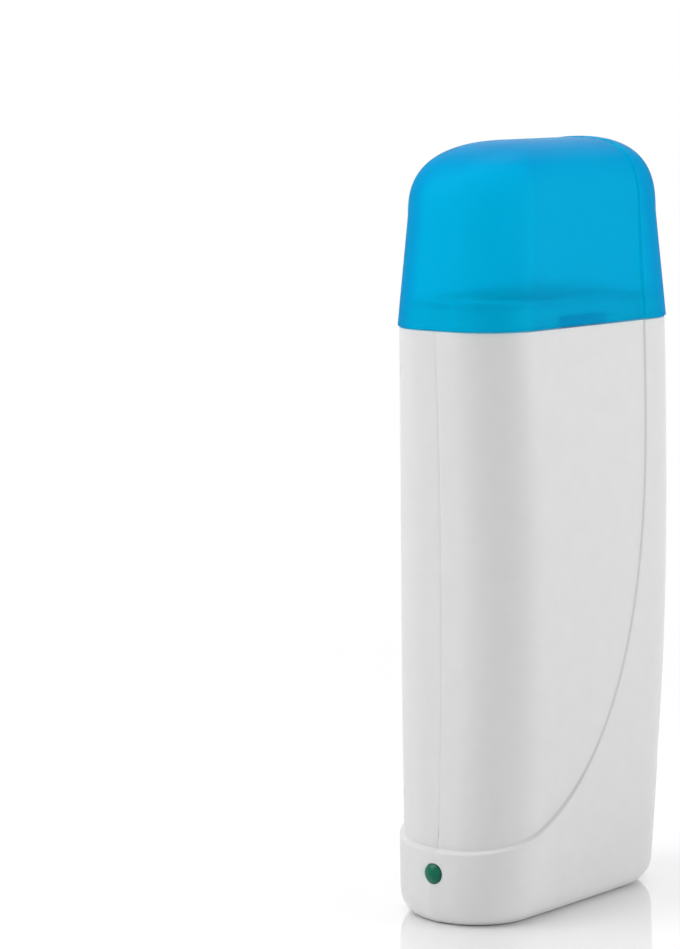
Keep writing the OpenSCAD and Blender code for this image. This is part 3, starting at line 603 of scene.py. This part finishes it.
def cap_level(z):
    d = math.tan(math.radians(cap_draft)) * (z - seam_h)
    e = math.tan(math.radians(cap_side_draft)) * (z - seam_h)
    return (-front_at(seam_h) - cap_proud + d, back_at(seam_h) + cap_proud - d,
            depth_at(seam_h) + cap_proud - e, corner_r)


def dome_level(a):
    f = 1 - math.cos(a) ** (2 / dome_power)
    level = cap_level(dome_low)
    return (level[0] + dome_front * f, level[1] - dome_back * f,
            level[2] * (1 - f), level[3] * (1 - f))


def cap_row(z, level, up, inset):
    """One level of the cap; up is how far its skin faces upwards."""
    d, u = step_w / 2 / half_len, u_at_x(sweep_x, level)
    rise = boot_step + (cap_step_top - boot_step) * (z - seam_h) / (total_h - seam_h)
    fade = 1 - ease((z - seam_h) / lift_fade)
    low = rise * fade * panel_lift
    shares = [k / cap_front_cols for k in range(cap_front_cols)]
    row = [((u - d) * k ** cap_crowding, rise * fade * panel_share(0, k)) for k in shares]
    row += [(u + d * (2 * k / step_cols - 1), low + (rise - low) * ease(k / step_cols))
            for k in range(step_cols + 1)]
    row += [(u + d + (1 - u - d) * k / cap_back_cols, rise) for k in range(1, cap_back_cols + 1)]
    return [skin_point(v, z + (out - inset) * up, level, out - inset) for v, out in row]


levels = [(z, cap_level(z), 0) for z in np.linspace(cap_low + rim_r, dome_low, wall_levels + 1)]
levels += [(dome_low + dome_h * math.sin(a) ** (2 / dome_power), dome_level(a), math.sin(a))
           for a in np.linspace(0, dome_arc, dome_levels + 1)[1:]]


def cap_side(inset):
    rows = [cap_row(*level, inset) for level in levels]
    closing = [1 - i / crown_rows for i in range(1, crown_rows + 1)]
    return rows + [[(x, y * f, z) for x, y, z in rows[-1]] for f in closing]


def rim_row(a):
    """The rim's cross-section: a quarter round outside, then one inside."""
    inset = rim_r * (1 - math.cos(a)) if a <= math.pi / 2 else cap_wall - rim_r * (1 + math.cos(a))
    return cap_row(cap_low + rim_r * (1 - math.sin(a)), cap_level(cap_low), 0, inset)


rim_rows = [rim_row(a) for a in np.linspace(0, math.pi, rim_steps + 1)[1:-1]]
cap_rows = cap_side(0)[::-1] + rim_rows + cap_side(cap_wall)
cap_half = lay_grid("cap_half", cap_rows)
other_half = lay_grid("other_half", turned(cap_rows, 1))
cap = in_edit_mode(join("lift_off_cap", cap_half, other_half), merge, outwards)
cap_top = max(v.co.z for v in cap.data.vertices) / MM
print("cap:", len(cap.data.polygons), "faces, top at", round(cap_top, 2))

# %% [markdown]
# ## The catch pads
# Low inside the cap, a shallow bar on each broad side grips the neck. It shows through
# the frosted plastic as a slightly darker rectangle.

# %% The catch pads
catch_len, catch_x, catch_h, catch_t = 19.2, -4.2, 2.6, 0.3
pad_t, pad_break = 1, 0.12          # most of the bar's own thickness lies in the cap's wall
pad_y = (depth_at(seam_h) + cap_proud - cap_wall) * (1 + face_crown) - catch_t
pads = []
for side in (-1, 1):
    bpy.ops.object.select_all(action="DESELECT")
    place = (catch_x * MM, side * (pad_y + pad_t / 2) * MM, (cap_low + catch_h / 2) * MM)
    bpy.ops.mesh.primitive_cube_add(size=MM, location=place, scale=(catch_len, pad_t, catch_h))
    bpy.ops.object.transform_apply(location=True, rotation=True, scale=True)
    pad = named("catch_pad")
    finish_with(pad, "BEVEL", width=pad_break * MM, segments=break_steps)
    pads.append(pad)
cap = smooth(join("lift_off_cap", cap, *pads))
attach(cap, "cap")
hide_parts("cap")
print("cap with", len(pads), "catch pads")

# %% [markdown]
# ## Materials: a few helpers
# Every finish is a Principled shader with some life in it: a noise that shifts the
# colour or roughness a little, and a fine bump at the scale of the real grain. All the
# patterns read Object coordinates, which are metres here.

# %% Materials: a few helpers
noise_low, noise_high = 0.3, 0.7    # most of a noise lies between these
fine_low, fine_high = 0.9, 1.12     # a finish's roughness drifts between these shares of it
drift_coarser = 12                  # the colour drifts this many times more widely than the grain
grain_depth = 0.00006               # in metres, as all lengths in a material


def new_finish(name, color, roughness, metallic=0.0, **sockets):
    mat = bpy.data.materials.new(name)
    mat.use_nodes = True
    shader = mat.node_tree.nodes["Principled BSDF"]
    shader.inputs["Base Color"].default_value = (*color, 1)
    shader.inputs["Roughness"].default_value = roughness
    shader.inputs["Metallic"].default_value = metallic
    for key, value in sockets.items():
        shader.inputs[key.replace("_", " ")].default_value = value
    return mat, mat.node_tree, shader


def noise(tree, scale, detail, stretch=(1, 1, 1)):
    place = tree.nodes.new("ShaderNodeTexCoord")
    mapping = tree.nodes.new("ShaderNodeMapping")
    mapping.inputs["Scale"].default_value = stretch
    tex = tree.nodes.new("ShaderNodeTexNoise")
    tex.inputs["Scale"].default_value = scale
    tex.inputs["Detail"].default_value = detail
    tree.links.new(place.outputs["Object"], mapping.inputs["Vector"])
    tree.links.new(mapping.outputs["Vector"], tex.inputs["Vector"])
    return tex.outputs["Fac"]


def mapped(tree, value, source, target, kind="LINEAR"):
    """A number whose range (low, high) is turned into another one."""
    node = tree.nodes.new("ShaderNodeMapRange")
    node.interpolation_type = kind
    for key, number in zip(("From Min", "From Max", "To Min", "To Max"), (*source, *target)):
        node.inputs[key].default_value = number
    tree.links.new(value, node.inputs["Value"])
    return node.outputs["Result"]


def spread(tree, value, socket, low, high):
    """Lets a noise move a shader's number between two values."""
    tree.links.new(mapped(tree, value, (noise_low, noise_high), (low, high)), socket)


def tint(tree, value, socket, first, last, places=(noise_low, noise_high)):
    """Lets a noise, or another number, move a colour between two shades."""
    ramp = tree.nodes.new("ShaderNodeValToRGB")
    for stop, place, color in zip(ramp.color_ramp.elements, places, (first, last)):
        stop.position, stop.color = place, (*color, 1)
    tree.links.new(value, ramp.inputs["Fac"])
    tree.links.new(ramp.outputs["Color"], socket)


def grain(tree, shader, value, strength, distance):
    bump = tree.nodes.new("ShaderNodeBump")
    bump.inputs["Strength"].default_value = strength
    bump.inputs["Distance"].default_value = distance
    tree.links.new(value, bump.inputs["Height"])
    tree.links.new(bump.outputs["Normal"], shader.inputs["Normal"])


def shades(color, by):
    return [tuple(min(1, c * f) for c in color) for f in (1 - by, 1 + by)]


def finish(name, color, roughness, scale, strength, vary, stretch=(1, 1, 1), **sockets):
    """A plain finish with a slight drift of colour and roughness and a fine grain."""
    mat, tree, shader = new_finish(name, color, roughness, **sockets)
    drift = noise(tree, scale / drift_coarser, 2)
    tint(tree, drift, shader.inputs["Base Color"], *shades(color, vary))
    fine = noise(tree, scale, 3, stretch)
    spread(tree, fine, shader.inputs["Roughness"], roughness * fine_low, roughness * fine_high)
    grain(tree, shader, fine, strength, grain_depth)
    return mat


print("grain", grain_depth, "m deep")

# %% [markdown]
# ## Plain finishes
# The housing is off-white plastic from a lightly etched mould: satin, with a grain that
# can only just be seen. The pieces inside are metals, fired ceramic, film, mica and
# coloured leads. All of these are the same kind of finish with other numbers, so one
# function makes them. The grain of the rolled and drawn metals is stretched along Z.

# %% Plain finishes
housing_white = (0.72, 0.72, 0.722)
drawn_grain, strip_grain, plate_grain = (1, 1, 0.03), (1, 1, 0.05), (1, 1, 0.1)
# name, colour, roughness, scale and strength of the grain, drift of the colour, stretch
finishes = {
    "housing": finish("satin_housing", housing_white, 0.42, 2600, 0.12, 0.012, IOR=1.46),
    "guide": finish("guide_plastic", (0.6, 0.6, 0.61), 0.45, 2200, 0.15, 0.02),
    "sleeve": finish("mill_aluminium", (0.72, 0.73, 0.75), 0.3, 1500, 0.2, 0.05, drawn_grain, metallic=1.0),
    "foot": finish("dark_foot", (0.1, 0.1, 0.11), 0.5, 2000, 0.25, 0.1),
    "film": finish("amber_film", (0.5, 0.2, 0.03), 0.25, 900, 0.05, 0.08),
    "contact": finish("tinned_contact", (0.7, 0.55, 0.3), 0.35, 1800, 0.1, 0.06, plate_grain, metallic=1.0),
    "ceramic": finish("fired_ceramic", (0.16, 0.16, 0.17), 0.7, 3000, 0.4, 0.12),
    "spring": finish("spring_steel", (0.55, 0.56, 0.58), 0.28, 2400, 0.1, 0.05, strip_grain, metallic=1.0),
    "mica": finish("pressed_mica", (0.6, 0.52, 0.36), 0.4, 1200, 0.3, 0.15),
    "fibre": finish("glass_fibre", (0.85, 0.83, 0.74), 0.8, 4000, 0.6, 0.06),
    "lamp": finish("lamp_body", (0.5, 0.7, 0.55), 0.15, 600, 0.02, 0.03, Transmission_Weight=0.6),
    "board": finish("coated_board", (0.02, 0.16, 0.05), 0.3, 1600, 0.15, 0.15),
    "resistor": finish("lacquered_body", (0.6, 0.42, 0.22), 0.3, 1400, 0.1, 0.05),
    "inlet": finish("inlet_black", (0.022, 0.022, 0.024), 0.45, 2400, 0.2, 0.15),
    "pins": finish("nickel_plate", (0.7, 0.68, 0.62), 0.2, 2000, 0.05, 0.03, metallic=1.0),
    "lead_brown": finish("brown_insulation", (0.2, 0.07, 0.02), 0.5, 1500, 0.1, 0.08),
    "lead_blue": finish("blue_insulation", (0.02, 0.08, 0.45), 0.5, 1500, 0.1, 0.08),
    "lead_black": finish("black_insulation", (0.02, 0.02, 0.02), 0.5, 1500, 0.1, 0.1),
    "screw": finish("zinc_plate", (0.6, 0.6, 0.62), 0.3, 2200, 0.1, 0.05, metallic=1.0),
}
print(len(finishes), "plain finishes")

# %% [markdown]
# ## The frosted cap
# The cap is a clear blue plastic, frosted so that the neck below it shows as a soft
# shadow. Transmission with some roughness gives that look, because the light goes in and
# comes out scattered. The wall turns deeper in colour where it is seen edge on, which
# Layer Weight tells, and a little plain diffuse light is mixed in for the milkiness.

# %% The frosted cap
cap_blue, cap_edge, cap_deep = (0.0, 0.85, 0.91), (0.0, 0.22, 0.54), (0.0, 0.48, 0.85)
cap_index, cap_rough_low, cap_rough_high = 1.07, 0.47, 0.53
polish_low, polish_high = (total_h - 6) * MM, (total_h - 0.5) * MM
crown_coat, coat_rough = 0.28, 0.16
edge_places = (0.3, 0.85)           # from nearly facing the eye to nearly edge on
milk_share = 0.3
frost_scale, frost_strength, frost_depth = 2200, 0.08, 0.00005


def frosted_cap():
    mat, tree, shader = new_finish("frosted_blue", cap_blue, (cap_rough_low + cap_rough_high) / 2,
                                   IOR=cap_index, Transmission_Weight=1.0,
                                   Coat_Roughness=coat_rough)
    # the crown is polished, and the sides are not
    spot = tree.nodes.new("ShaderNodeTexCoord")
    split = tree.nodes.new("ShaderNodeSeparateXYZ")
    tree.links.new(spot.outputs["Object"], split.inputs[0])
    polish = mapped(tree, split.outputs["Z"], (polish_low, polish_high), (0.0, crown_coat))
    tree.links.new(polish, shader.inputs["Coat Weight"])
    # the wall looks deeper in colour where it is seen edge on
    facing = tree.nodes.new("ShaderNodeLayerWeight").outputs["Facing"]
    tint(tree, facing, shader.inputs["Base Color"], cap_blue, cap_edge, edge_places)
    fine = noise(tree, frost_scale, 2)
    spread(tree, fine, shader.inputs["Roughness"], cap_rough_low, cap_rough_high)
    grain(tree, shader, fine, frost_strength, frost_depth)
    # a share of the light is scattered back by the wall itself
    milk = tree.nodes.new("ShaderNodeBsdfDiffuse")
    milk.inputs["Color"].default_value = (*cap_deep, 1)
    both = tree.nodes.new("ShaderNodeMixShader")
    both.inputs[0].default_value = milk_share
    tree.links.new(shader.outputs[0], both.inputs[1])
    tree.links.new(milk.outputs[0], both.inputs[2])
    tree.links.new(both.outputs[0], tree.nodes["Material Output"].inputs["Surface"])
    return mat


finishes["cap"] = frosted_cap()
print("the cap's crown is polished from z =", round(polish_low, 4), "m")

# %% [markdown]
# ## The green lens
# The indicator is a small dome of dark green plastic, smooth and only slightly clear. It
# is unlit here, so a deep colour under a glossy skin shows it, with no glow.

# %% The green lens
lens_green, lens_drift = (0.0, 0.16, 0.092), 0.12
lens_rough, lens_index, lens_clear = 0.14, 1.28, 0.15
lens_drift_scale, lens_grain_scale, lens_strength, lens_depth = 700, 900, 0.04, 0.00004


def green_lens():
    mat, tree, shader = new_finish("green_lens", lens_green, lens_rough, IOR=lens_index,
                                   Transmission_Weight=lens_clear)
    drift = noise(tree, lens_drift_scale, 2)
    tint(tree, drift, shader.inputs["Base Color"], *shades(lens_green, lens_drift))
    grain(tree, shader, noise(tree, lens_grain_scale, 1), lens_strength, lens_depth)
    return mat


finishes["lens"] = green_lens()
print("lens colour", lens_green)

# %% [markdown]
# ## Dressing the pieces
# The record names a material slot for each solid, and each slot has its finish. The two
# shells and the cap that were modelled here get the same finish as the solids they
# stand in for.

# %% Dressing the pieces
def dress(obj, mat):
    obj.data.materials.clear()
    obj.data.materials.append(mat)


slots = {row["node"]: row["material_slot"] for row in frame["record"]["subparts"]}
for node, obj in nodes.items():
    dress(obj, finishes[slots[node]])
for obj, slot in ((right, "housing"), (left, "housing"), (cap, "cap")):
    dress(obj, finishes[slot])
print(len(finishes), "finishes on", len(nodes), "nodes")

# %% [markdown]
# ## Table and room
# The heater stands on a white glossy table in an even white room, whose light fills the
# shadows. The table and the room are white for the camera by their own colour, and not
# by more light on the heater: close to the heater the table keeps its shadow and its
# reflection, and further out it turns plain white.

# %% Table and room
table_white, table_index = (0.97, 0.97, 0.97), 1.8
table_rough, table_coat_rough = 0.06, 0.02
plain_from, plain_to = 0.12, 0.5    # metres from the middle over which the table turns plain
room_light = 0.42
pure_white = (1, 1, 1, 1)


def math_node(tree, operation, a, b):
    node = tree.nodes.new("ShaderNodeMath")
    node.operation = operation
    for socket, value in zip(node.inputs, (a, b)):
        if isinstance(value, (int, float)):
            socket.default_value = value
        else:
            tree.links.new(value, socket)
    return node.outputs[0]


def show_plain(tree, lit, plain, share, out):
    """Shows the plain shader, by that share, to the camera, to gloss and through glass."""
    path = tree.nodes.new("ShaderNodeLightPath").outputs
    seen = math_node(tree, "MAXIMUM", path["Is Camera Ray"], path["Is Glossy Ray"])
    seen = math_node(tree, "MAXIMUM", seen, path["Is Transmission Ray"])
    mix = tree.nodes.new("ShaderNodeMixShader")
    tree.links.new(math_node(tree, "MULTIPLY", seen, share), mix.inputs[0])
    tree.links.new(lit, mix.inputs[1])
    tree.links.new(plain, mix.inputs[2])
    tree.links.new(mix.outputs[0], out)


def far_from_middle(tree, near, far):
    """Rises from 0 to 1 as a place on the table lies further from its middle."""
    place = tree.nodes.new("ShaderNodeTexCoord")
    length = tree.nodes.new("ShaderNodeVectorMath")
    length.operation = "LENGTH"
    tree.links.new(place.outputs["Object"], length.inputs[0])
    return mapped(tree, length.outputs["Value"], (near, far), (0.0, 1.0), "SMOOTHSTEP")


bpy.ops.object.select_all(action="DESELECT")
bpy.ops.mesh.primitive_plane_add(size=8, location=(0, 0, 0))
table = named("table")
mat, tree, shader = new_finish("white_table", table_white, table_rough, IOR=table_index,
                               Coat_Weight=1.0, Coat_Roughness=table_coat_rough,
                               Coat_IOR=table_index)
glow = tree.nodes.new("ShaderNodeEmission")
glow.inputs["Color"].default_value = pure_white
glow.inputs["Strength"].default_value = 1.0
far_off = far_from_middle(tree, plain_from, plain_to)
table_out = tree.nodes["Material Output"].inputs["Surface"]
show_plain(tree, shader.outputs[0], glow.outputs[0], far_off, table_out)
dress(table, mat)

world = bpy.data.worlds.new("white_room")
bpy.context.scene.world = world
world.use_nodes = True
tree = world.node_tree
room = tree.nodes["Background"]
room.inputs["Color"].default_value = pure_white
room.inputs["Strength"].default_value = room_light
white = tree.nodes.new("ShaderNodeBackground")
white.inputs["Color"].default_value = pure_white
white.inputs["Strength"].default_value = 1.0
room_out = tree.nodes["World Output"].inputs["Surface"]
show_plain(tree, room.outputs[0], white.outputs[0], 1.0, room_out)
print("table and room are white")

# %% [markdown]
# ## Soft boxes
# Glossy plastic shows its lamps, so they are wide and soft. One lights the narrow front
# and one the broad side, and the corner between them falls into a soft grey band. A
# third hangs above and lights the crown.

# %% Soft boxes
def soft_box(name, place, aim, size, power):
    data = bpy.data.lights.new(name, "AREA")
    data.shape = "RECTANGLE"
    data.size, data.size_y = size
    data.energy = power
    lamp = bpy.data.objects.new(name, data)
    bpy.context.collection.objects.link(lamp)
    lamp.location = place
    lamp.rotation_euler = (Vector(aim) - Vector(place)).to_track_quat("-Z", "Y").to_euler()


# name, place, where it points, width and height in metres, power in watts
middle = (0, 0, 0.11)
soft_box("box_front", (-0.62, 0.44, 0.75), (0, 0, 0.14), (0.7, 0.7), 5.2)
soft_box("box_side", (0.55, -0.92, 0.36), (0, 0, 0.04), (0.85, 0.8), 4.8)
soft_box("box_top", (0.1, 0.1, 1.1), middle, (0.8, 0.8), 4.5)
print("three soft boxes")

# %% [markdown]
# ## Camera
# The camera looks at the corner between the front and the broad side through a long
# lens, from a little above the top, so the upright edges stay nearly parallel. Its place
# and turn were fitted to the base line, the cap line and the silhouette.

# %% Camera
camera_place = (-0.75680, -0.54474, 0.23460)
turn_deg, tilt_deg = 51.10, 7.323   # clockwise from +Y, and downwards
camera_lens, sensor_mm = 132.77, 36  # the sensor lies along the long side of 680 x 949
data = bpy.data.cameras.new("photo_camera")
data.lens = camera_lens
data.sensor_width = sensor_mm
data.clip_start, data.clip_end = 0.05, 50
camera = bpy.data.objects.new("photo_camera", data)
bpy.context.collection.objects.link(camera)
camera.location = camera_place
camera.rotation_euler = (math.radians(90 - tilt_deg), 0, -math.radians(turn_deg))
bpy.context.scene.camera = camera
bpy.context.scene.view_settings.view_transform = "Standard"
print("camera at", camera_place)
